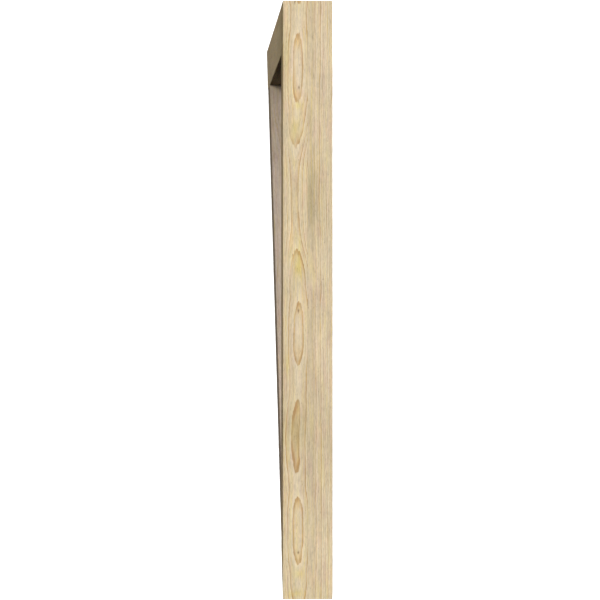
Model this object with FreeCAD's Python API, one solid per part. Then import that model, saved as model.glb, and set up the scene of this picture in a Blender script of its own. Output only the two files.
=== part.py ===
import FreeCAD, Part

import math
import os

# A timber wall bracket. A post lies against the wall, an arm runs out from the post's front with
# its top flush with the post's top, and a straight brace crosses the corner between them. Each
# member is glued up from two boards side by side, so there is one glue line down its middle.
#
# A place in the bracket's profile is given as two distances from the outer corner where post and
# arm meet: "out" from the wall along the arm, and "down" from the top along the post.
#
# The post's foot and the arm's end are both cut on the straight line between their outer tips.
# Unheld, the bracket stands on those two cuts with its outer corner up, and that is how it is
# placed here: millimetres, +Z up, X across the members, floor at Z = 0, and the origin on the
# floor midway between the tips. The post runs down towards -Y and the arm towards +Y.

INCH = 25.4

# Driving dimensions
post_height = 42.0 * INCH      # along the wall face, from the top to the tip of the foot
arm_reach = 42.0 * INCH        # along the top, from the wall face to the tip of the arm
board_thickness = 1.75 * INCH  # one board, across the bracket
post_depth = 3.5 * INCH        # section of the post, out from the wall
arm_depth = 3.5 * INCH         # section of the arm, down from the top
brace_depth = 3.5 * INCH       # section of the brace, square to its length
brace_setback = 0.5 * INCH     # along the arm's underside, from the end cut to the brace
arris_radius = 1.0             # easing of each member's long outer edges

# The floor line from foot tip to arm tip, and the slope of each member to it
floor_span = math.hypot(arm_reach, post_height)
arm_slope_cos = arm_reach / floor_span
arm_slope_sin = post_height / floor_span

# The brace lies level when the bracket stands on its cuts, a little above the floor
brace_outer_height = brace_setback * arm_slope_sin
brace_inner_height = brace_outer_height + brace_depth


def row_point(x, out, down):
    """Turn a place in the profile into a point of the standing bracket."""
    from_mid_out = out - arm_reach / 2
    from_mid_up = post_height / 2 - down
    y = from_mid_out * arm_slope_cos + from_mid_up * arm_slope_sin
    z = from_mid_up * arm_slope_cos - from_mid_out * arm_slope_sin
    return FreeCAD.Vector(x, y, z)


def out_at(down, height):
    """Distance out from the wall, at this distance down, of a point this high over the floor."""
    return arm_reach * (1 - down / post_height) - height / arm_slope_sin


def down_at(out, height):
    """Distance down from the top, at this distance out, of a point this high over the floor."""
    return post_height * (1 - out / arm_reach) - height / arm_slope_cos


# Profiles. The first two corners are one end and the last two the other end, so the member's
# long edges run from the second corner to the third and from the fourth back to the first.
profiles = {
    "post": [
        (0, 0),
        (post_depth, 0),
        (post_depth, down_at(post_depth, 0)),
        (0, post_height),
    ],
    "arm": [
        (post_depth, arm_depth),
        (post_depth, 0),
        (arm_reach, 0),
        (out_at(arm_depth, 0), arm_depth),
    ],
    "brace": [
        (post_depth, down_at(post_depth, brace_outer_height)),
        (post_depth, down_at(post_depth, brace_inner_height)),
        (out_at(arm_depth, brace_inner_height), arm_depth),
        (out_at(arm_depth, brace_outer_height), arm_depth),
    ],
}

# Each board runs from the glue line at X = 0 to its outer face
board_faces = {"left": -board_thickness, "right": board_thickness}


def board(corners, x_outer):
    """One board of a member, with its two long outer edges eased."""
    ring = [row_point(0, out, down) for out, down in corners]
    outline = Part.Face(Part.makePolygon(ring + ring[:1]))
    solid = outline.extrude(FreeCAD.Vector(x_outer, 0, 0))
    to_outer_face = FreeCAD.Vector(x_outer, 0, 0)
    middles = [
        (ring[1] + ring[2]) * 0.5 + to_outer_face,
        (ring[3] + ring[0]) * 0.5 + to_outer_face,
    ]
    arrises = [
        edge for edge in solid.Edges
        if min(edge.CenterOfMass.distanceToPoint(middle) for middle in middles) < 0.001
    ]
    return solid.makeFillet(arris_radius, arrises)


os.makedirs("parts", exist_ok=True)
for member, corners in profiles.items():
    for side, x_outer in board_faces.items():
        shape = board(corners, x_outer)
        name = f"{member}_{side}_board"
        shape.exportStep(f"parts/{name}.step")
        print(f"{name}: valid {shape.isValid()}, {shape.Volume / 1000:.1f} cm3")
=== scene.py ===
"""Looks of a timber wall bracket: post, arm and brace, each glued up from two softwood boards.

Every board is rebuilt as a fine mesh inside its CAD solid, with eased arrises, raised grain and
sawn ends, and gets a wood finish worked out from growth rings that run through the whole board,
so that the figure on its faces and the end grain on its cuts belong together.
"""

import math

import bpy
import numpy as np
from bpy.props import FloatProperty, FloatVectorProperty, PointerProperty
from mathutils import Matrix, Vector


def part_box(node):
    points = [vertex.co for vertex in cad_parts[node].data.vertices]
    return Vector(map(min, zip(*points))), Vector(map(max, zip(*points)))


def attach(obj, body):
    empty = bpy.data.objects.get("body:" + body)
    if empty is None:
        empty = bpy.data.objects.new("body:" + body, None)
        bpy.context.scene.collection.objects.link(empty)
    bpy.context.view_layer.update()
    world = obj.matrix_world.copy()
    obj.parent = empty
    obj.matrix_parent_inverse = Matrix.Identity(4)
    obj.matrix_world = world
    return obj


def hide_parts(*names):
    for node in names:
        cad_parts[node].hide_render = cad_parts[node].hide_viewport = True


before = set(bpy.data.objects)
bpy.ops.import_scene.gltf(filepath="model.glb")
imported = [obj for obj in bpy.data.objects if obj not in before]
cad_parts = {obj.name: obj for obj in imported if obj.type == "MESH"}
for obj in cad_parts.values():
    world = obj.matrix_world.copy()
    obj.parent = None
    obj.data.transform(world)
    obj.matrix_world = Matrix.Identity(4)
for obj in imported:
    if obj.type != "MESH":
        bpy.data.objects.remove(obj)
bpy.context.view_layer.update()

bl_info = {
    "name": "Timber wall bracket",
    "version": (1, 0, 0),
    "blender": (4, 5, 0),
    "location": "View3D > Sidebar > Bracket",
    "description": "Builds the boards of a timber wall bracket and a plain studio round them",
    "category": "Add Mesh",
}

MM = 0.001
INCH = 25.4  # in millimetres: places along a board are given in inches, as its maker would


# ---------------------------------------------------------------------------------------------
# Shader expressions

class Value:
    """A number that varies over a surface: a node's socket that can be used in an expression."""

    def __init__(self, graph, socket):
        self.graph = graph
        self.socket = socket

    def maths(self, operation, *terms):
        inputs = dict(enumerate(terms))
        made = self.graph.node("ShaderNodeMath", {"operation": operation}, inputs)
        return Value(self.graph, made.outputs[0])

    def __add__(self, other):
        return self.maths("ADD", self, other)

    def __radd__(self, other):
        return self.maths("ADD", other, self)

    def __sub__(self, other):
        return self.maths("SUBTRACT", self, other)

    def __rsub__(self, other):
        return self.maths("SUBTRACT", other, self)

    def __mul__(self, other):
        return self.maths("MULTIPLY", self, other)

    def __rmul__(self, other):
        return self.maths("MULTIPLY", other, self)

    def __neg__(self):
        return self.maths("MULTIPLY", self, -1.0)


class Graph:
    """The node tree of one material or world."""

    def __init__(self, tree):
        self.tree = tree

    def node(self, kind, settings=None, inputs=None):
        """Add a node: its settings first, then each socket's number, colour or link."""
        made = self.tree.nodes.new(kind)
        for name, setting in (settings or {}).items():
            if name == "stops":
                self.set_stops(made.color_ramp, setting)
            else:
                setattr(made, name, setting)
        for name, given in (inputs or {}).items():
            if isinstance(given, Value):
                self.tree.links.new(given.socket, made.inputs[name])
            elif isinstance(given, bpy.types.NodeSocket):
                self.tree.links.new(given, made.inputs[name])
            else:
                made.inputs[name].default_value = given
        return made

    @staticmethod
    def set_stops(ramp, stops):
        while len(ramp.elements) < len(stops):
            ramp.elements.new(1.0)
        for element, (place, colour) in zip(ramp.elements, stops):
            element.position = place
            element.color = colour

    def place(self):
        """The place on the surface in the bracket's own frame, in metres, as three values."""
        coordinates = self.node("ShaderNodeTexCoord").outputs["Object"]
        split = self.node("ShaderNodeSeparateXYZ", inputs={"Vector": coordinates})
        return [Value(self, output) for output in split.outputs]

    def noise(self, x, y, z, detail, roughness):
        """Smooth noise about 0.5 at the point (x, y, z), which is given in noise cells."""
        point = self.node("ShaderNodeCombineXYZ", inputs={"X": x, "Y": y, "Z": z})
        inputs = {
            "Vector": point.outputs[0], "Scale": 1.0, "Detail": detail, "Roughness": roughness,
        }
        made = self.node("ShaderNodeTexNoise", {"noise_dimensions": "3D"}, inputs)
        return Value(self, made.outputs[0])

    def mix(self, factor, first, second, blend="MIX"):
        """Mix two colours, each a colour or a colour socket."""
        settings = {"data_type": "RGBA", "blend_type": blend, "clamp_result": False}
        inputs = {"Factor": factor, 6: first, 7: second}
        return self.node("ShaderNodeMix", settings, inputs).outputs[2]

    def ramp(self, factor, stops):
        """A colour that runs through the stops as the factor goes from 0 to 1."""
        return self.node("ShaderNodeValToRGB", {"stops": stops}, {0: factor}).outputs[0]


# The figure of a board is worked out twice, on arrays for the mesh and on values for the
# finish, so the functions from here to the end of the growth rings take either.

def sine(v):
    return v.maths("SINE", v) if isinstance(v, Value) else np.sin(v)


def exponential(v):
    return v.maths("EXPONENT", v) if isinstance(v, Value) else np.exp(v)


def logarithm(v):
    return v.maths("LOGARITHM", v, math.e) if isinstance(v, Value) else np.log(v)


def root(v):
    return v.maths("SQRT", v) if isinstance(v, Value) else np.sqrt(v)


def whole(v):
    return v.maths("FLOOR", v) if isinstance(v, Value) else np.floor(v)


def ease(low, high, v):
    """Goes smoothly from 0 where v is low to 1 where v is high."""
    if isinstance(v, Value):
        settings = {"interpolation_type": "SMOOTHSTEP", "clamp": True}
        inputs = {"Value": v, "From Min": low, "From Max": high}
        return Value(v.graph, v.graph.node("ShaderNodeMapRange", settings, inputs).outputs[0])
    t = np.clip((v - low) / (high - low), 0.0, 1.0)
    return t * t * (3 - 2 * t)


def bump(v, centre, spread):
    """1 where v is at the centre, about a third at one spread from it, and then nothing."""
    away = (v - centre) * (1.0 / spread)
    return exponential(-(away * away))


def plateau(v, centre, spread):
    """As a bump, but with a flatter top and steeper sides."""
    away = (v - centre) * (1.0 / spread)
    square = away * away
    return exponential(-(square * square))


# ---------------------------------------------------------------------------------------------
# Growth rings

# How each board was sawn out of its log. Places and sizes are in millimetres: across is X, from
# the glue line, deep is into the board from the member's first face, and along is down the board
# from the member's start.
#   pith       across and deep place of the log's heart
#   ring       width of one growth ring
#   rim        how much further from the heart the first ring edge lies than the first face does
#   eyes       places where the log swelled, so that the face cuts a closed oval: its centre
#              along the board, half its length, and how much deeper the heart already lies at
#              its centre, which makes it narrower
#   plain      how much deeper the heart lies away from the eyes
#   dips       stretches where the heart lies deeper still: how much, where along, half length
#   leans      stretches where the heart strays sideways: how far, where along, half length
#   wild       how far the rings stray from round, in rings
#   seed       a number of the board's own, for its noise and its waves
#   contrast   darkness of its ring edges
#   cast       tint of the whole board; on the brace boards it also darkens them as painted shade
FIGURES = {
    "post_left_board": {
        "pith": (-17.3, 45.0), "ring": 2.15, "rim": 0.88,
        "eyes": [
            (-2.4 * INCH, 2.5 * INCH, 0.0),
            (4.82 * INCH, 2.36 * INCH, 0.0),
            (23.3 * INCH, 2.15 * INCH, 0.0),
            (30.6 * INCH, 2.3 * INCH, 0.32),
            (37.2 * INCH, 2.3 * INCH, 0.0),
        ],
        "plain": 1.35,
        "dips": [(4.0, 13.9 * INCH, 4.33 * INCH), (1.6, 43.5 * INCH, 2.0 * INCH)],
        "leans": [(-5.5, 13.5 * INCH, 4.6 * INCH), (-3.6, 30.6 * INCH, 2.4 * INCH)],
        "wild": 0.4, "seed": 1.0, "contrast": 1.45, "cast": (1.025, 1.03, 1.07),
    },
    "post_right_board": {
        "pith": (3.0, 95.0), "ring": 1.1, "rim": 0.64,
        "eyes": [], "plain": 0.0, "dips": [],
        "leans": [(-2.0, 12 * INCH, 5 * INCH), (2.0, 32 * INCH, 6 * INCH)],
        "wild": 0.8, "seed": 2.0, "contrast": 1.9, "cast": (0.99, 0.99, 1.02),
    },
    "arm_left_board": {
        "pith": (-60.0, 40.0), "ring": 2.1, "rim": 0.6,
        "eyes": [], "plain": 0.0, "dips": [(3.0, 12 * INCH, 6 * INCH), (2.0, 31 * INCH, 7 * INCH)],
        "leans": [(4.0, 20 * INCH, 9 * INCH)],
        "wild": 0.8, "seed": 3.0, "contrast": 0.8, "cast": (1.18, 1.2, 1.29),
    },
    "arm_right_board": {
        "pith": (26.0, 70.0), "ring": 1.7, "rim": 0.8,
        "eyes": [(9 * INCH, 2.3 * INCH, 0.1), (24 * INCH, 3.0 * INCH, 0.0)],
        "plain": 3.6, "dips": [], "leans": [(5.0, 16 * INCH, 6 * INCH)],
        "wild": 0.4, "seed": 4.0, "contrast": 0.8, "cast": (0.98, 0.97, 0.99),
    },
    # The brace boards' dark cast is painted shade; it also cools and pinks them
    "brace_left_board": {
        "pith": (-20.0, 120.0), "ring": 1.5, "rim": 1.0,
        "eyes": [], "plain": 0.0, "dips": [(1.2, 14 * INCH, 8 * INCH), (0.8, 40 * INCH, 6 * INCH)],
        "leans": [(6.0, 25 * INCH, 10 * INCH)],
        "wild": 0.9, "seed": 5.0, "contrast": 0.5, "cast": (0.645, 0.645, 0.795),
    },
    "brace_right_board": {
        "pith": (15.0, -30.0), "ring": 1.8, "rim": 0.7,
        "eyes": [(14 * INCH, 2.6 * INCH, 0.0), (33 * INCH, 2.2 * INCH, 0.2)],
        "plain": 3.2, "dips": [], "leans": [(-4.0, 22 * INCH, 7 * INCH)],
        "wild": 0.4, "seed": 6.0, "contrast": 0.7, "cast": (0.74, 0.735, 0.86),
    },
}

EYE_SHARPNESS = 6.0     # how quickly the swell of one eye gives way to the next, per millimetre
EYE_ROUNDNESS = 0.4     # 1 makes the eyes ellipses, and less makes their ends blunter
RING_RHYTHM = 1.9       # how quickly wide and narrow rings take turns, in radians a ring
RING_UNEVENNESS = 0.2   # how far that moves a ring's edge, in rings
RING_SHUFFLE = 12.9898  # radians between two rings, far enough to make their strengths look random
SHUFFLE_START = 3.1
RING_SPREAD = 0.25      # how far a ring's strength lies above or below the usual

# Waves in the line of the heart: the length that each takes to turn by one radian and how far it
# goes, in millimetres, and what its seed is multiplied by
WAVES = [(83, 0.8, 1), (29, 0.45, 2), (11, 0.2, 3)]

# Where in a ring, from 0 at its start to 1 at its edge, the dark wood is reached
LATE_STARTS = 0.45
LATE_QUICKENS = 0.75
LATE_FULL = 0.95
LATE_ENDS = 0.965


def swell(figure, along):
    """How much deeper the log's heart lies here than the figure's pith says."""
    height = 0.0
    if figure["eyes"]:
        total = math.exp(-EYE_SHARPNESS * figure["plain"])
        for centre, half_length, lift in figure["eyes"]:
            away = (along - centre) * (1.0 / half_length)
            square = away * away
            shape = square * EYE_ROUNDNESS + square * square * (1 - EYE_ROUNDNESS)
            rise = shape * (figure["rim"] - lift) + lift
            total = exponential(rise * -EYE_SHARPNESS) + total
        height = logarithm(total) * (-1.0 / EYE_SHARPNESS)
    for size, centre, spread in figure["dips"]:
        height = plateau(along, centre, spread) * size + height
    return height


def wander(figure, along):
    """How far the log's heart strays sideways here."""
    sideways = 0.0
    for length, size, order in WAVES:
        sideways = sine(along * (1 / length) + order * figure["seed"]) * size + sideways
    for size, centre, spread in figure["leans"]:
        sideways = bump(along, centre, spread) * size + sideways
    return sideways


def growth(figure, across, deep, along):
    """Growth rings counted outwards from the first edge cut by the face: whole at each edge."""
    pith_across, pith_deep = figure["pith"]
    deeper = swell(figure, along)
    sideways = across - pith_across - wander(figure, along)
    inwards = deep - pith_deep - (deeper if pith_deep > 0 else -deeper)
    radius = root(sideways * sideways + inwards * inwards)
    rings = (radius - (abs(pith_deep) + figure["rim"])) * (1.0 / figure["ring"])
    return rings + (sine(rings * RING_RHYTHM + math.pi / 2) - 1) * RING_UNEVENNESS


def latewood(rings):
    """Darkness of the wood: it builds up through each ring, and ends sharply at the ring's edge."""
    count = whole(rings)
    part = rings - count
    build = (ease(LATE_STARTS, LATE_FULL, part) + ease(LATE_QUICKENS, LATE_FULL, part)) * 0.5
    strength = sine(count * RING_SHUFFLE + SHUFFLE_START) * RING_SPREAD + (1 - RING_SPREAD)
    return build * (1 - ease(LATE_ENDS, 1.0, part)) * strength


# ---------------------------------------------------------------------------------------------
# Settings that a user may change

def colour_property(name, description, default):
    return FloatVectorProperty(
        name=name, description=description, default=default, size=4, subtype="COLOR",
        min=0.0, max=1.0,
    )


def length_property(name, description, default):
    return FloatProperty(
        name=name, description=description, default=default, unit="LENGTH", min=0.0,
        precision=5,
    )


def power_property(name, description, default):
    return FloatProperty(
        name=name, description=description, default=default, unit="POWER", min=0.0)


class TimberSettings(bpy.types.PropertyGroup):
    """Sizes and colours of the boards."""

    early: colour_property(
        "Earlywood", "Pale wood that grew in spring", (0.725, 0.605, 0.413, 1.0))
    tan: colour_property(
        "Weak latewood", "Yellow-tan of the rings that barely darken", (0.665, 0.50, 0.28, 1.0))
    late: colour_property(
        "Latewood", "Orange-brown of the ring edges", (0.51, 0.32, 0.138, 1.0))
    speck: colour_property(
        "Specks", "Resin canals and pin knots", (0.20, 0.10, 0.045, 1.0))
    pitch_along: length_property("Mesh pitch along", "Mesh step down the board", 0.004)
    pitch_across: length_property("Mesh pitch across", "Mesh step round the board", 0.002)
    arris: length_property("Arris", "Radius of the eased long edges", 0.001)
    relief: length_property("Raised grain", "Height of latewood over earlywood", 0.00012)
    kerf: length_property("Saw marks", "Depth of the saw's marks on a cut end", 0.00025)


class StudioSettings(bpy.types.PropertyGroup):
    """The plain studio and the camera."""

    floor: colour_property("Floor", "Colour of the floor", (0.93, 0.93, 0.93, 1.0))
    camera_distance: length_property(
        "Camera distance", "From the post's wall face, square to it", 5.32)
    camera_left: length_property(
        "Camera left", "Left of the bracket's middle plane", 0.216)
    camera_down: length_property(
        "Camera down", "Below the top, along the post", 0.5436)
    aim_left: length_property("Aim left", "Left of the middle plane, on the wall face", 0.0138)
    lens: FloatProperty(
        name="Lens", description="Focal length in millimetres", default=179.4, min=1.0)
    floor_glow: FloatProperty(
        name="Floor glow", description="Light of the floor's own, as of a light table",
        default=0.78)
    key_power: power_property("Key light", "Power of the light above the post", 247.0)
    left_power: power_property("Left light", "Power of the light on the left", 30.0)
    right_power: power_property("Right light", "Power of the light on the right", 105.0)
    back_power: power_property("Back light", "Power of the light over the arm", 100.0)
    dome: FloatProperty(
        name="Dome", description="Brightness of the soft light from above", default=0.28)


# ---------------------------------------------------------------------------------------------
# Boards

TOUCH = 0.01 * MM        # how closely a corner has to lie in the glue plane to count as in it
ARC_STEPS = 2            # mesh steps in half of an eased arris
GLUE_GROOVE = 0.8 * MM   # width of the slight groove along the glue line
GROOVE_DEPTH = 0.14 * MM
CUT_EDGE = 0.35 * MM     # how far the sharp edge of a cut end is broken
END_ROWS = (0.0, 0.6 * MM, 2.0 * MM)   # where the mesh has rows of its own next to a cut end
END_STRETCH = 4.0 * MM   # how far from a cut end the evenly spaced rows begin
SHARP = math.radians(40)   # an edge that turns by more than this stays sharp

# How the arrises are rubbed: in millimetres, by the usual depth and by how much each of three
# waves down the board adds to it or takes off, given in radians per metre
RUB_REACH = 1.6
RUB_DEPTH = 0.22
RUB_SPREAD = 0.1
RUB_WAVES = (41, 97, 233)
RUB_TWIST = 40           # turns the last wave with the depth into the board, in the same unit

# A cut end: arcs left by a round saw, and earlywood torn out a little deeper than latewood
BLADE_CENTRE = (0.11, -0.07)   # of the arcs, across and deep, in metres
BLADE_PITCH = 3.1 * MM   # between two arcs
BLADE_SHARE = 0.45       # of the cut's depth that the arcs take up; the rest is torn earlywood


def first_edge(member, corners):
    """Both ends of the first face, seen from the side: where the board starts and where it stops.

    The post starts at the bracket's top and its first face lies against the wall. The arm starts
    at the post, top face first. The brace starts at the arm, and its first face looks inwards.
    """
    by_height = sorted(corners, key=lambda corner: (round(corner.z, 4), corner.y))
    if member == "post":
        return by_height[-1], min(corners, key=lambda corner: corner.y)
    if member == "arm":
        return by_height[-1], max(corners, key=lambda corner: corner.y)
    return by_height[-1], by_height[-2]


class Board:
    """Where one board lies, read from its CAD solid: across is X, along runs down the member."""

    def __init__(self, name):
        self.name = name
        self.member = name.split("_")[0]
        self.figure = FIGURES[name]
        corners = []
        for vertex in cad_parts[name].data.vertices:
            in_glue_plane = abs(vertex.co.x) < TOUCH
            if in_glue_plane and all((vertex.co - other).length > MM for other in corners):
                corners.append(vertex.co.copy())
        self.origin, stop = first_edge(self.member, corners)
        self.length = (stop - self.origin).length
        self.along = (stop - self.origin).normalized()
        square = Vector((0.0, -self.along.z, self.along.y))
        middle = sum(corners, Vector()) / len(corners)
        self.deep = square if (middle - self.origin).dot(square) > 0 else -square
        self.depth = max((corner - self.origin).dot(self.deep) for corner in corners)
        far_face = [
            (corner - self.origin).dot(self.along) for corner in corners
            if (corner - self.origin).dot(self.deep) > self.depth - MM
        ]
        self.far_start = min(far_face)
        self.far_stop = max(far_face)
        low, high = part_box(name)
        self.outer = low.x if abs(low.x) > abs(high.x) else high.x

    def face_middle(self):
        """The middle of the member's first face."""
        return self.origin + self.along * self.length / 2

    def place_along(self, part, deep):
        """Distance down the board at this part of its length, on ends that may be cut aslant."""
        share = deep / self.depth
        start = self.far_start * share
        stop = self.length + (self.far_stop - self.length) * share
        return start + (stop - start) * part

    def points(self, across, deep, along):
        """Board places, as arrays in metres, turned into points of the bracket's frame."""
        return (
            np.array(self.origin) + across[..., None] * np.array((1.0, 0.0, 0.0))
            + deep[..., None] * np.array(self.deep) + along[..., None] * np.array(self.along)
        )


def steps(start, stop, pitch):
    """Evenly spaced numbers from start to stop, both included, about a pitch apart."""
    return np.linspace(start, stop, max(2, round(abs(stop - start) / pitch) + 1))


def section(board, settings):
    """The board's outline seen from its start: places across and deep, and outward normals.

    It runs out along the first face, down the outer side, back along the far face and up the
    glued face. The first two runs meet in the middle of an eased arris, as do the next two.
    """
    side = 1.0 if board.outer > 0 else -1.0
    width, depth, radius = abs(board.outer), board.depth, settings.arris
    bend = np.linspace(0.0, math.pi / 4, ARC_STEPS + 1)[1:]
    beyond_groove = steps(GLUE_GROOVE, width - radius, settings.pitch_across)
    flat = np.concatenate(([0.0, GLUE_GROOVE / 2], beyond_groove))
    face_across = np.concatenate((flat, width - radius + radius * np.sin(bend)))
    face_deep = np.concatenate((np.zeros(len(flat)), radius - radius * np.cos(bend)))
    face_out = np.concatenate((np.zeros(len(flat)), np.sin(bend)))
    plain = steps(radius, depth - radius, settings.pitch_across)
    turn = bend[:-1][::-1]
    side_across = np.concatenate((
        width - radius + radius * np.cos(turn), np.full(len(plain), width),
        width - radius + radius * np.cos(turn[::-1])))
    side_deep = np.concatenate((
        radius - radius * np.sin(turn), plain, depth - radius + radius * np.sin(turn[::-1])))
    side_up = np.concatenate((-np.sin(turn), np.zeros(len(plain)), np.sin(turn[::-1])))
    glue = np.linspace(depth, 0.0, len(side_deep) + 2)[1:-1]
    across = np.concatenate((face_across, side_across, face_across[::-1], 0 * glue)) * side
    deep = np.concatenate((face_deep, side_deep, depth - face_deep[::-1], glue))
    out_across = np.concatenate((
        face_out, np.cos(np.arcsin(side_up)), face_out[::-1], 0 * glue)) * side
    face_up = -np.cos(np.arcsin(face_out))
    out_deep = np.concatenate((face_up, side_up, -face_up[::-1], 0 * glue))
    return across, deep, out_across, out_deep, len(face_across), len(side_deep)


def wear(board, across, deep, along):
    """How far the arrises are knocked back, in metres: uneven, with a few longer rubbed spots."""
    edge = np.minimum(deep, board.depth - deep)
    near = np.exp(-((abs(board.outer) - np.abs(across)) + edge) / (RUB_REACH * MM))
    seed = board.figure["seed"]
    starts = (seed, 2 * seed, deep * RUB_TWIST)
    uneven = sum(np.sin(along * wave + start) for wave, start in zip(RUB_WAVES, starts))
    return near * (RUB_DEPTH + RUB_SPREAD * uneven).clip(0, None) * MM


def ring_darkness(board, across, deep, along):
    """Darkness of the wood at places on the board, given as arrays in metres."""
    return latewood(growth(board.figure, across / MM, deep / MM, along / MM))


def place_in_scene(name, data):
    """Make an object of the data and put it in the scene."""
    made = bpy.data.objects.new(name, data)
    bpy.context.scene.collection.objects.link(made)
    return made


def build_board(name, settings):
    """Make one board's mesh with its raised grain, and its two finishes."""
    board = Board(name)
    across, deep, out_across, out_deep, face_count, side_count = section(board, settings)
    body = steps(END_STRETCH, board.length - END_STRETCH, settings.pitch_along) / board.length
    near_start = np.array(END_ROWS) / board.length
    part = np.concatenate((near_start, body, 1.0 - near_start[::-1]))[:, None]
    along = board.place_along(part, deep[None, :])
    wide = np.broadcast_to(across, along.shape)
    thick = np.broadcast_to(deep, along.shape)
    grain = ring_darkness(board, wide, thick, along)
    sink = settings.relief * (1 - grain) + wear(board, wide, thick, along)
    sink += GROOVE_DEPTH * (1 - ease(0.0, GLUE_GROOVE, np.abs(wide)))
    sink[[0, -1]] += CUT_EDGE
    wide = wide - out_across * sink
    thick = thick - out_deep * sink
    along = board.place_along(part, thick)
    shell = board.points(wide, thick, along)
    rows, columns = along.shape

    vertices = [shell.reshape(-1, 3)]
    index = np.arange(rows * columns).reshape(rows, columns)
    after = np.roll(index, -1, axis=1)
    faces = [np.stack((index[:-1], after[:-1], after[1:], index[1:]), -1).reshape(-1, 4)]
    shell_faces = len(faces[0])
    for row, inwards in ((0, 1.0), (rows - 1, -1.0)):
        cap_vertices, cap_faces = end_cap(
            board, settings, wide[row], thick[row], index[row], sum(map(len, vertices)),
            face_count, side_count, part[row, 0], inwards)
        vertices.append(cap_vertices)
        faces.append(cap_faces if inwards > 0 else cap_faces[:, ::-1])
    faces = np.concatenate(faces)
    right_handed = board.deep.cross(board.along).x > 0
    if right_handed != (board.outer > 0):
        faces = faces[:, ::-1]

    piece_name = name.replace("_board", "")
    mesh = bpy.data.meshes.new(piece_name)
    mesh.from_pydata(np.concatenate(vertices).tolist(), [], faces.tolist())
    mesh.materials.append(timber(board, settings, end_grain=False))
    mesh.materials.append(timber(board, settings, end_grain=True))
    slots = (np.arange(len(faces)) >= shell_faces).astype(np.int32)
    mesh.polygons.foreach_set("material_index", slots)
    mesh.shade_smooth()
    mesh.set_sharp_from_angle(angle=SHARP)
    mesh.update()
    piece = place_in_scene(piece_name, mesh)
    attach(piece, "root")
    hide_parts(name)
    return piece


def end_cap(board, settings, wide, thick, rim, first, face_count, side_count, part, inwards):
    """The sawn end inside one rim of the shell: a grid of new points, and all its faces."""
    columns = face_count
    rows = side_count + 2
    grid = np.empty((rows, columns), int)
    grid[0] = rim[:columns]
    grid[1:-1, -1] = rim[columns:columns + side_count]
    grid[-1] = rim[columns + side_count:2 * columns + side_count][::-1]
    grid[1:-1, 0] = rim[2 * columns + side_count:][::-1]
    inner_across = wide[:columns][None, 1:-1]
    inner_deep = thick[columns:columns + side_count][:, None]
    inner_across, inner_deep = np.broadcast_arrays(inner_across, inner_deep)
    along = board.place_along(part, inner_deep)
    blade = np.hypot(inner_across - BLADE_CENTRE[0], inner_deep - BLADE_CENTRE[1])
    marks = 0.5 + 0.5 * np.sin(blade * 2 * math.pi / BLADE_PITCH + board.figure["seed"])
    grain = ring_darkness(board, inner_across, inner_deep, along)
    cut = settings.kerf * (BLADE_SHARE * marks + (1 - BLADE_SHARE) * (1 - grain))
    points = board.points(inner_across, inner_deep, along + inwards * cut).reshape(-1, 3)
    grid[1:-1, 1:-1] = first + np.arange(len(points)).reshape(rows - 2, columns - 2)
    quads = np.stack((grid[:-1, :-1], grid[1:, :-1], grid[1:, 1:], grid[:-1, 1:]), -1)
    return points, quads.reshape(-1, 4)


# ---------------------------------------------------------------------------------------------
# Finishes

# Pin knots and resin streaks on the first face, in millimetres: across, along, half width, half
# length, strength
SPOTS = {
    "post_left_board": [
        (-15.6, 6.1 * INCH, 1.3, 2.6, 0.8),
        (-16.4, 21.75 * INCH, 1.5, 3.0, 0.8),
        (-16.9, 38.7 * INCH, 1.5, 2.4, 0.8),
        (-23.0, 0.1 * INCH, 1.2, 4.0, 0.7),
        (-14.0, 3.0 * INCH, 1.0, 8.0, 0.25),
        (-14.6, 32.5 * INCH, 1.2, 7.0, 0.2),
    ],
    "post_right_board": [
        (8.6, 2.6 * INCH, 1.4, 4.0, 0.3),
        (10.6, 5.3 * INCH, 1.2, 5.0, 0.3),
        (11.4, 10.7 * INCH, 1.3, 14.0, 0.28),
        (12.5, 12.2 * INCH, 1.2, 12.0, 0.24),
        (8.0, 17.3 * INCH, 1.4, 9.0, 0.28),
        (11.0, 25.8 * INCH, 1.2, 4.0, 0.3),
        (5.4, 38.9 * INCH, 1.3, 6.0, 0.25),
        (37.5, 4.5 * INCH, 1.0, 40.0, 0.25),
        (37.0, 22.5 * INCH, 1.0, 34.0, 0.25),
        (38.0, 29.5 * INCH, 1.2, 26.0, 0.3),
        (37.5, 38.0 * INCH, 1.0, 40.0, 0.28),
    ],
}

# Tints that the wood takes in streaks and patches. The dull tint also serves as painted shade on
# the left sides of the post and the arm.
ROSY = (0.985, 0.925, 0.97, 1.0)
GOLDEN = (0.99, 0.98, 0.80, 1.0)
AMBER = (0.99, 0.87, 0.66, 1.0)
OLIVE = (0.91, 0.86, 0.70, 1.0)
STRAW = (1.0, 0.99, 0.70, 1.0)
HONEY = (0.95, 0.91, 0.74, 1.0)
PALE = (1.03, 1.03, 1.12, 1.0)
COOL = (1.03, 1.07, 1.14, 1.0)
FRESH = (1.07, 1.08, 1.07, 1.0)
# dull: a tint of the wood, and also painted shade on the post's and arm's left sides
DULL_AND_SHADE = (0.80, 0.80, 0.73, 1.0)

# Stretches where ring edges show less, given as the spots are. They and the patches go right
# through the board.
FADES = {
    "post_left_board": [
        (-17.0, 4.7 * INCH, 14.0, 64.0, 0.3),
        (-17.0, 23.3 * INCH, 14.0, 60.0, 0.3),
        (-17.0, 37.2 * INCH, 14.0, 62.0, 0.3),
        (-34.0, 9.4 * INCH, 9.0, 26.0, 0.8),
        (-22.0, 10.2 * INCH, 7.0, 10.0, 0.4),
        (-35.0, 18.9 * INCH, 8.0, 26.0, 0.85),
    ],
    "post_right_board": [
        (6.0, 20.0 * INCH, 17.0, 1200.0, 0.95),
    ],
}

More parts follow.
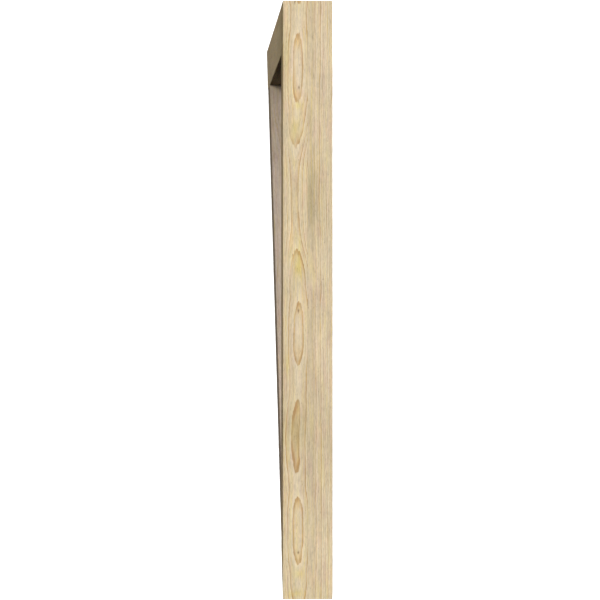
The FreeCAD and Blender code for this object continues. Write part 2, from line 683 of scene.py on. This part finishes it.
# Patches, given as the spots are with a tint at the end
PATCHES = {
    "post_left_board": [
        (-22.0, 13.8 * INCH, 30.0, 60.0, 0.25, DULL_AND_SHADE),
        (-22.0, 30.0 * INCH, 40.0, 44.0, 0.9, DULL_AND_SHADE),
        (-22.0, 40.0 * INCH, 60.0, 110.0, 1.0, FRESH),
        # The next two darken the post's left side and the edge beside it: painted shade over the
        # whole side, deeper near the top next to the arm
        (-46.0, 10.0 * INCH, 3.5, 900.0, 1.0, DULL_AND_SHADE),
        (-46.0, 2.0 * INCH, 3.5, 90.0, 1.0, DULL_AND_SHADE),
        (-17.0, 2.95 * INCH, 4.5, 11.0, 0.8, AMBER),
        (-17.3, 4.9 * INCH, 4.5, 28.0, 1.0, PALE),
        (-17.3, 23.2 * INCH, 4.5, 26.0, 1.0, PALE),
        (-16.5, 37.2 * INCH, 4.5, 28.0, 1.0, PALE),
        (-20.4, 30.6 * INCH, 5.5, 48.0, 0.9, OLIVE),
        (-16.5, 6.55 * INCH, 4.0, 8.0, 0.7, AMBER),
        (-16.5, 21.7 * INCH, 4.0, 10.0, 0.6, AMBER),
        (-16.5, 24.6 * INCH, 4.5, 11.0, 0.6, AMBER),
        (-19.5, 28.7 * INCH, 4.0, 10.0, 0.5, AMBER),
        (-18.0, 32.5 * INCH, 4.0, 10.0, 0.6, AMBER),
        (-17.0, 35.4 * INCH, 4.0, 10.0, 0.6, AMBER),
        (-14.5, 38.9 * INCH, 4.0, 11.0, 0.6, AMBER),
        (-24.0, 9.2 * INCH, 9.0, 20.0, 0.9, STRAW),
        (-16.0, 18.6 * INCH, 7.0, 16.0, 0.9, STRAW),
        (-36.0, 25.5 * INCH, 3.0, 22.0, 0.9, STRAW),
        (-37.0, 4.0 * INCH, 4.0, 60.0, 0.7, STRAW),
        (-17.0, 7.35 * INCH, 8.0, 7.0, 1.0, STRAW),
        (-15.5, 40.2 * INCH, 7.0, 8.0, 1.0, STRAW),
        (-24.0, 41.6 * INCH, 14.0, 6.0, 0.8, STRAW),
        (-17.0, 18.0 * INCH, 14.0, 40.0, 0.5, STRAW),
    ],
    "post_right_board": [
        (4.0, 21.0 * INCH, 8.0, 2000.0, 0.5, DULL_AND_SHADE),
        (33.0, 21.0 * INCH, 13.0, 2000.0, 0.8, COOL),
        (12.0, 26.0 * INCH, 12.0, 2000.0, 0.3, ROSY),
        (14.0, 15.5 * INCH, 16.0, 40.0, 0.3, DULL_AND_SHADE),
        (22.0, 40.0 * INCH, 40.0, 110.0, 1.0, FRESH),
        (5.0, 13.4 * INCH, 13.0, 46.0, 0.7, DULL_AND_SHADE),
        (20.0, 14.0 * INCH, 26.0, 90.0, 0.45, DULL_AND_SHADE),
        (22.0, 30.5 * INCH, 26.0, 60.0, 0.45, DULL_AND_SHADE),
        (10.0, 1.0 * INCH, 16.0, 30.0, 0.3, DULL_AND_SHADE),
    ],
    "arm_left_board": [
        # Painted shade on the arm's left side next to the post, fading away from it
        (-44.0, 0.0, 26.0, 220.0, 1.0, DULL_AND_SHADE),
    ],
}


# Noises in the wood: cells per millimetre across the board and down it, detail, roughness, and
# which of across (0), deep (1) and along (2) the board's seed is added to
NOISES = {
    "ragged": (0.35, 0.02, 3.0, 0.5, 1),    # unevenness of a ring's edge
    "stray": (0.06, 0.008, 2.0, 0.5, 1),    # rings that stray from round
    "fade": (0.12, 0.012, 2.0, 0.5, 0),     # ring edges that come and go
    "fibre": (1.5, 0.03, 4.0, 0.7, 0),      # long fine fibres
    "fleck": (0.5, 0.1, 3.0, 0.65, 1),      # short flecks
    "cloud": (0.045, 0.011, 2.0, 0.5, 1),   # broad lighter and darker stretches
    "blush": (0.1, 0.02, 3.0, 0.5, 0),      # pinker stretches
    "gold": (0.42, 0.015, 2.0, 0.5, 1),     # golden streaks
    "canals": (0.95, 0.14, 1.0, 0.5, 1),    # resin canals
}
PORES = (3.2, 0.4, 3.0, 0.5, None)   # a noise too: the open pores of a cut end
SEED_STRIDE = 17.3      # noise cells from one board's seed to the next one's
RAGGEDNESS = 0.3        # how far a ring's edge is uneven, in rings

# From which noise to which a thing goes from absent to full
FADE_RANGE = (0.3, 0.65)
BLUSH_RANGE = (0.45, 0.7)
GOLD_RANGE = (0.5, 0.7)
CANAL_RANGE = (0.685, 0.76)

# How dark a ring is where the wood is earlywood, weak latewood and latewood
DARKNESS_STOPS = (0.0, 0.42, 0.95)
# How much each noise counts in the wood's brightness
SHADES = {"fibre": 0.44, "fleck": 0.66, "cloud": 0.36, "gold": 0.3}
HONEY_STREAK = (0.42, 0.1)   # middle and half width of the honey streak in every ring
HONEY_STRENGTH = 0.8
FRESH_START = 0.4       # how far into a ring its lighter start goes
START_SHADE = 0.045     # how much lighter that is
GLUE_RANGE = (0.15, 0.75)   # where the glue line's shade runs out, in millimetres from the middle
GLUE_SHADE = 0.15
CANAL_SHADE = 0.4
KNOT_DEPTH = 6.0        # in millimetres

ROUGHNESS = 0.66        # of planed earlywood
LATE_ROUGHNESS = -0.10  # what full latewood adds to it
FIBRE_ROUGHNESS = 0.2
LATE_HEIGHT = 0.35
FIBRE_HEIGHT = 0.8
END_ROUGHNESS = 0.14    # what a cut end adds
END_SHADE = 0.80        # brightness of a cut end
PORE_SHADE = 0.5
END_TINT = (1.0, 0.92, 0.79, 1.0)


def place_on_board(board, graph):
    """The place on the board's surface: across, deep and along, in millimetres."""
    x, y, z = graph.place()
    deep = y * board.deep.y + z * board.deep.z - board.origin.dot(board.deep)
    along = y * board.along.y + z * board.along.z - board.origin.dot(board.along)
    return x * (1 / MM), deep * (1 / MM), along * (1 / MM)


def board_noise(kind, board, graph, place):
    """One of the wood's noises, at the place on the board."""
    cells_across, cells_along, detail, roughness, seeded = kind
    cells = [place[0] * cells_across, place[1] * cells_across, place[2] * cells_along]
    if seeded is not None:
        cells[seeded] = cells[seeded] + board.figure["seed"] * SEED_STRIDE
    return graph.noise(*cells, detail, roughness)


def oval(place, spot):
    """A soft oval that is at its full strength at its centre."""
    spot_across, spot_along, half_width, half_length, strength = spot
    lengthways = bump(place[2], spot_along, half_length)
    return bump(place[0], spot_across, half_width) * lengthways * strength


def timber(board, settings, end_grain):
    """The wood of one board, on its long faces or on its sawn ends."""
    ending = "end_grain" if end_grain else "long_grain"
    material = bpy.data.materials.new(f"{board.name}_{ending}")
    material.use_nodes = True
    graph = Graph(material.node_tree)
    graph.tree.nodes.clear()
    figure = board.figure
    place = place_on_board(board, graph)
    across, deep, along = place
    noise = {name: board_noise(kind, board, graph, place) for name, kind in NOISES.items()}

    rings = growth(figure, across, deep, along)
    rings = rings + (noise["ragged"] - 0.5) * RAGGEDNESS + (noise["stray"] - 0.5) * figure["wild"]
    part = rings - whole(rings)
    late = latewood(rings) * (ease(*FADE_RANGE, noise["fade"]) * 0.5 + 0.5) * figure["contrast"]
    for spot in FADES.get(board.name, []):
        late = late * (1 - oval(place, spot))

    colours = (settings.early, settings.tan, settings.late)
    wood = graph.ramp(late, list(zip(DARKNESS_STOPS, colours)))
    # The board's cast: a tint, and on the brace boards painted shade as well
    wood = graph.mix(1.0, wood, (*figure["cast"], 1.0), "MULTIPLY")
    wood = graph.mix(ease(*BLUSH_RANGE, noise["blush"]), wood, ROSY, "MULTIPLY")
    wood = graph.mix(ease(*GOLD_RANGE, noise["gold"]), wood, GOLDEN, "MULTIPLY")
    wood = graph.mix(bump(part, *HONEY_STREAK) * HONEY_STRENGTH, wood, HONEY, "MULTIPLY")
    # Patches of tint; a few dull patches on the left sides of the post and the arm are painted
    # shade
    for *spot, tint in PATCHES.get(board.name, []):
        wood = graph.mix(oval(place, spot), wood, tint, "MULTIPLY")

    shade = 1.0
    for name, share in SHADES.items():
        shade = (noise[name] - 0.5) * share + shade
    shade = shade + (1 - ease(0.0, FRESH_START, part)) * START_SHADE * figure["contrast"]
    if not end_grain:
        shade = shade - (1 - ease(*GLUE_RANGE, root(across * across))) * GLUE_SHADE
    wood = graph.mix(1.0, wood, shade, "MULTIPLY")

    specks = ease(*CANAL_RANGE, noise["canals"]) * CANAL_SHADE
    for spot in SPOTS.get(board.name, []):
        specks = specks + oval(place, spot) * bump(deep, 0.0, KNOT_DEPTH)
    wood = graph.mix(specks, wood, settings.speck)

    rough = ROUGHNESS + late * LATE_ROUGHNESS + (noise["fibre"] - 0.5) * FIBRE_ROUGHNESS
    height = late * LATE_HEIGHT + noise["fibre"] * FIBRE_HEIGHT - specks
    if end_grain:
        pores = board_noise(PORES, board, graph, place)
        wood = graph.mix(1.0, wood, (pores - 0.5) * PORE_SHADE + END_SHADE, "MULTIPLY")
        wood = graph.mix(1.0, wood, END_TINT, "MULTIPLY")
        rough = rough + END_ROUGHNESS
        height = height + pores
    raised = graph.node("ShaderNodeBump", inputs={
        "Strength": 0.35, "Distance": 0.25 * MM, "Height": height,
    })
    shader = graph.node("ShaderNodeBsdfPrincipled", inputs={
        "Base Color": wood, "Roughness": rough, "Normal": raised.outputs[0],
        "Specular IOR Level": 0.35,
    })
    graph.node("ShaderNodeOutputMaterial", inputs={"Surface": shader.outputs[0]})
    return material


# ---------------------------------------------------------------------------------------------
# Operators

def build_member(member, context):
    """Build the left and the right board of one member."""
    for side in ("left", "right"):
        build_board(f"{member}_{side}_board", context.scene.bracket_timber)


class BRACKET_OT_post(bpy.types.Operator):
    """Build the two boards of the post."""

    bl_idname = "bracket.post"
    bl_label = "Build post"

    def execute(self, context):
        build_member("post", context)
        return {"FINISHED"}


class BRACKET_OT_arm(bpy.types.Operator):
    """Build the two boards of the arm."""

    bl_idname = "bracket.arm"
    bl_label = "Build arm"

    def execute(self, context):
        build_member("arm", context)
        return {"FINISHED"}


class BRACKET_OT_brace(bpy.types.Operator):
    """Build the two boards of the brace."""

    bl_idname = "bracket.brace"
    bl_label = "Build brace"

    def execute(self, context):
        build_member("brace", context)
        return {"FINISHED"}


FLOOR_REACH = 14.0      # metres from the middle to an edge of the floor
DOME_TINT = (0.97, 0.98, 1.0, 1.0)
DOME_EDGE = 0.35        # how far up, from 0 level to 1 straight up, the soft light starts
NEUTRAL = (1.0, 0.99, 0.95)
WARM = (1.0, 0.94, 0.80)

# The lamps: which way each hangs from the middle of the post's wall face, how far off and how
# wide in metres, the setting that holds its power, its colour, and how often its light bounces
LAMPS = {
    "key_light": ((-0.16, -0.59, 0.79), 5.5, 0.7, "key_power", NEUTRAL, 0),
    "left_light": ((-1.0, 0.5, 0.25), 4.0, 2.0, "left_power", WARM, 0),
    "right_light": ((1.0, 0.25, 0.35), 5.0, 2.0, "right_power", NEUTRAL, 1),
    "back_light": ((0.3, 0.95, 0.35), 5.0, 2.0, "back_power", NEUTRAL, 1),
}


def look_from(place, aim, up):
    """A matrix that stands at the place and looks at the aim."""
    back = (place - aim).normalized()
    right = up.cross(back).normalized()
    upwards = back.cross(right)
    turned = Matrix((right, upwards, back)).transposed().to_4x4()
    return Matrix.Translation(place) @ turned


class BRACKET_OT_studio(bpy.types.Operator):
    """Lay the floor, hang the lights and set up the camera."""

    bl_idname = "bracket.studio"
    bl_label = "Set up studio"

    def execute(self, context):
        studio = context.scene.bracket_studio
        post = Board("post_left_board")
        self.lay_floor(studio)
        self.light_dome(context, studio)
        self.hang_lamps(studio, post)
        self.set_camera(context, studio, post)
        context.scene.view_settings.view_transform = "Standard"
        return {"FINISHED"}

    def lay_floor(self, studio):
        sides = ((-1, -1), (1, -1), (1, 1), (-1, 1))
        corners = [(x * FLOOR_REACH, y * FLOOR_REACH, 0) for x, y in sides]
        mesh = bpy.data.meshes.new("studio_floor")
        mesh.from_pydata(corners, [], [(0, 1, 2, 3)])
        material = bpy.data.materials.new("studio_floor")
        material.use_nodes = True
        shader = material.node_tree.nodes["Principled BSDF"]
        shader.inputs["Base Color"].default_value = studio.floor
        shader.inputs["Roughness"].default_value = 0.9
        shader.inputs["Emission Color"].default_value = (1.0, 1.0, 1.0, 1.0)
        shader.inputs["Emission Strength"].default_value = studio.floor_glow
        mesh.materials.append(material)
        floor = place_in_scene("studio_floor", mesh)
        floor.visible_diffuse = False
        floor.visible_glossy = False

    def light_dome(self, context, studio):
        world = bpy.data.worlds.new("studio_dome")
        world.use_nodes = True
        world.cycles.max_bounces = 0
        context.scene.world = world
        graph = Graph(world.node_tree)
        graph.tree.nodes.clear()
        direction = graph.node("ShaderNodeTexCoord").outputs["Generated"]
        split = graph.node("ShaderNodeSeparateXYZ", inputs={"Vector": direction})
        upwards = Value(graph, split.outputs[2])
        seen = Value(graph, graph.node("ShaderNodeLightPath").outputs["Is Camera Ray"])
        glow = ease(DOME_EDGE, 1.0, upwards) * studio.dome
        sky = graph.node("ShaderNodeBackground", inputs={
            "Color": DOME_TINT, "Strength": seen + (1 - seen) * glow,
        })
        graph.node("ShaderNodeOutputWorld", inputs={"Surface": sky.outputs[0]})

    def hang_lamps(self, studio, post):
        middle = post.face_middle()
        for name, (towards, distance, size, power, colour, bounces) in LAMPS.items():
            lamp = bpy.data.lights.new(name, "AREA")
            lamp.size = size
            lamp.energy = getattr(studio, power)
            lamp.color = colour
            lamp.cycles.max_bounces = bounces
            light = place_in_scene(name, lamp)
            place = middle + Vector(towards).normalized() * distance
            light.matrix_world = look_from(place, middle, Vector((0, 0, 1)))

    def set_camera(self, context, studio, post):
        outwards = -post.deep
        left = Vector((-1.0, 0.0, 0.0))
        place = (
            post.origin + post.along * studio.camera_down + outwards * studio.camera_distance
            + left * studio.camera_left
        )
        aim = post.face_middle() + left * studio.aim_left
        data = bpy.data.cameras.new("camera")
        data.lens = studio.lens
        data.clip_end = 100.0
        camera = place_in_scene("camera", data)
        camera.matrix_world = look_from(place, aim, -post.along)
        context.scene.camera = camera


class BRACKET_PT_panel(bpy.types.Panel):
    """Lists the bracket's pieces and the studio."""

    bl_idname = "BRACKET_PT_panel"
    bl_label = "Timber bracket"
    bl_space_type = "VIEW_3D"
    bl_region_type = "UI"
    bl_category = "Bracket"

    def draw(self, context):
        for operator in OPERATORS:
            self.layout.operator(operator.bl_idname)
        for settings in (context.scene.bracket_timber, context.scene.bracket_studio):
            box = self.layout.box()
            for name in settings.__annotations__:
                box.prop(settings, name)


OPERATORS = (BRACKET_OT_post, BRACKET_OT_arm, BRACKET_OT_brace, BRACKET_OT_studio)
CLASSES = (TimberSettings, StudioSettings, *OPERATORS, BRACKET_PT_panel)


def register():
    for each in CLASSES:
        bpy.utils.register_class(each)
    bpy.types.Scene.bracket_timber = PointerProperty(type=TimberSettings)
    bpy.types.Scene.bracket_studio = PointerProperty(type=StudioSettings)


def unregister():
    del bpy.types.Scene.bracket_studio
    del bpy.types.Scene.bracket_timber
    for each in reversed(CLASSES):
        bpy.utils.unregister_class(each)


def main():
    register()
    bpy.ops.bracket.post()
    bpy.ops.bracket.arm()
    bpy.ops.bracket.brace()
    bpy.ops.bracket.studio()


if __name__ == "__main__":
    main()
